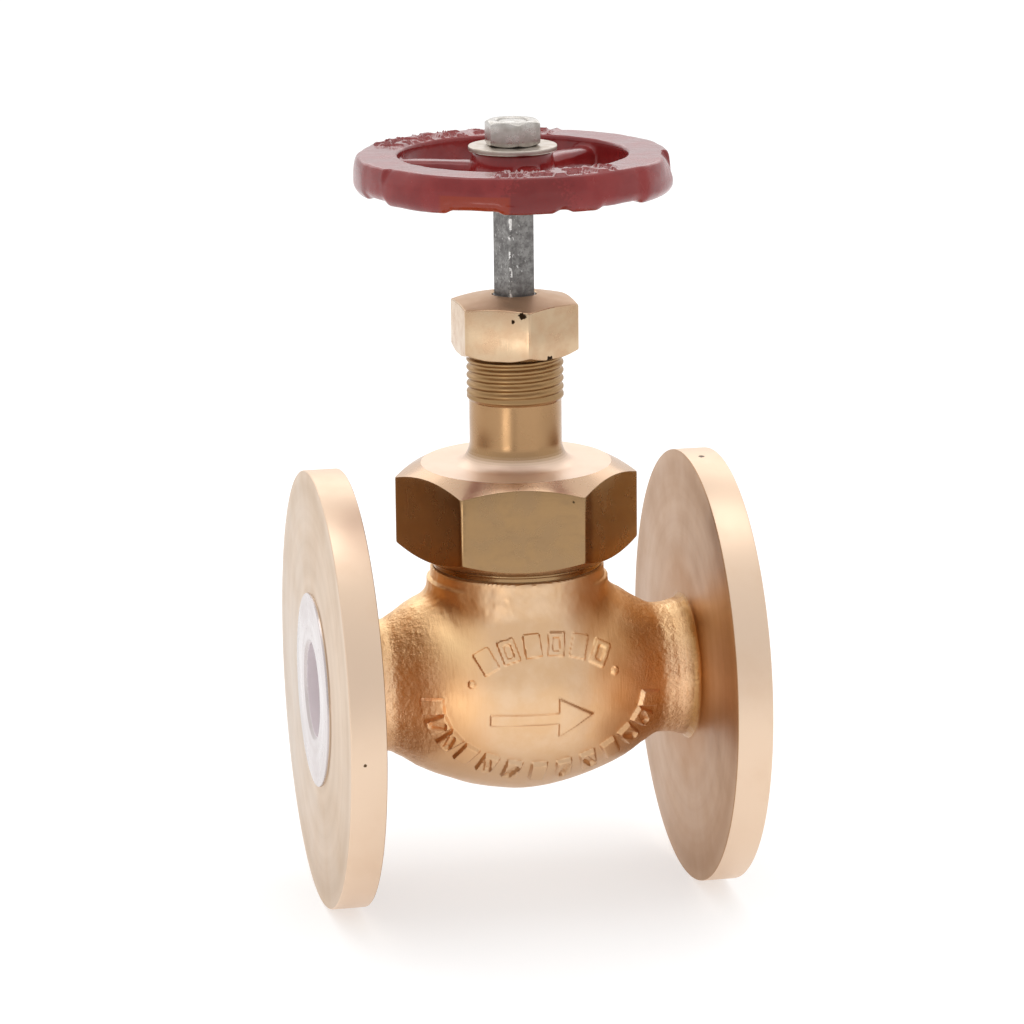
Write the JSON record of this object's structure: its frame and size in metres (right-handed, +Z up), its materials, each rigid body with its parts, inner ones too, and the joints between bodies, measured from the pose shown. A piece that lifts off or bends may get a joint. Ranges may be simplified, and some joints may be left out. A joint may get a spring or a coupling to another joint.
{
  "type": "seacock valve",
  "caption": "Flanged bronze screw-down valve with a rising spindle, a hexagon bonnet, a packed gland and a red handwheel that lifts a disc off its seat to open the pipe.",
  "frame": {"origin": "on the floor under the spindle's axis, midway between the two flange faces; the valve stands on its two flanges", "axes": "+X along the pipe towards the outlet, +Y away from the front of the body, +Z up the spindle"},
  "size_m": [0.1102, 0.1148, 0.2052],
  "materials": {
    "cast_bronze": "sand-cast and tumbled, with turned satin flanges",
    "turned_bronze": "turned and milled, satin",
    "pale_bronze": "polished",
    "trim_brass": "turned",
    "rolled_steel": "grey rolled bar",
    "zinc_steel": "zinc plated",
    "red_paint": "thick glossy enamel on cast iron",
    "seal_rubber": "matt",
    "packing_cord": "graphited braid",
    "gasket_fibre": "pressed fibre sheet"
  },
  "bodies": {
    "valve_group": {"body_casting": "cast_bronze", "seat_ring": "trim_brass", "bonnet_gasket": "gasket_fibre", "bonnet": "turned_bronze", "packing_base_washer": "trim_brass", "packing_ring_1": "packing_cord", "packing_ring_2": "packing_cord", "packing_ring_3": "packing_cord", "packing_ring_4": "packing_cord", "packing_ring_5": "packing_cord"},
    "disc_group": {"disc_holder": "trim_brass", "disc_seal": "seal_rubber", "seal_washer": "trim_brass", "seal_nut": "trim_brass", "disc_swivel_nut": "trim_brass"},
    "spindle_group": {"spindle": "rolled_steel", "handwheel": "red_paint", "wheel_washer": "zinc_steel", "wheel_nut": "zinc_steel"},
    "follower_group": {"gland_follower": "trim_brass"},
    "gland_nut_group": {"gland_nut": "pale_bronze"}
  },
  "joints": [
    {"name": "disc_lift", "type": "slide", "parent": "valve_group", "child": "disc_group", "axis": [0, 0, 1], "range_m": [0, 0.009]},
    {"name": "spindle_turn", "type": "hinge", "parent": "disc_group", "child": "spindle_group", "pos_m": [0, 0, 0.16], "axis": [0, 0, 1], "range_deg": [0, 1080]},
    {"name": "gland_take_up", "type": "slide", "parent": "valve_group", "child": "follower_group", "axis": [0, 0, 1], "range_m": [-0.00212, 0], "deforming": ["packing_ring_1", "packing_ring_2", "packing_ring_3", "packing_ring_4", "packing_ring_5"]},
    {"name": "gland_nut_turn", "type": "hinge", "parent": "follower_group", "child": "gland_nut_group", "pos_m": [0, 0, 0.152], "axis": [0, 0, 1], "range_deg": [-360, 0]}
  ],
  "couplings": [
    {"joint": "disc_lift", "follows": "spindle_turn", "m_per_rad": 0.00047746},
    {"joint": "gland_take_up", "follows": "gland_nut_turn", "m_per_rad": 0.00033688}
  ]
}
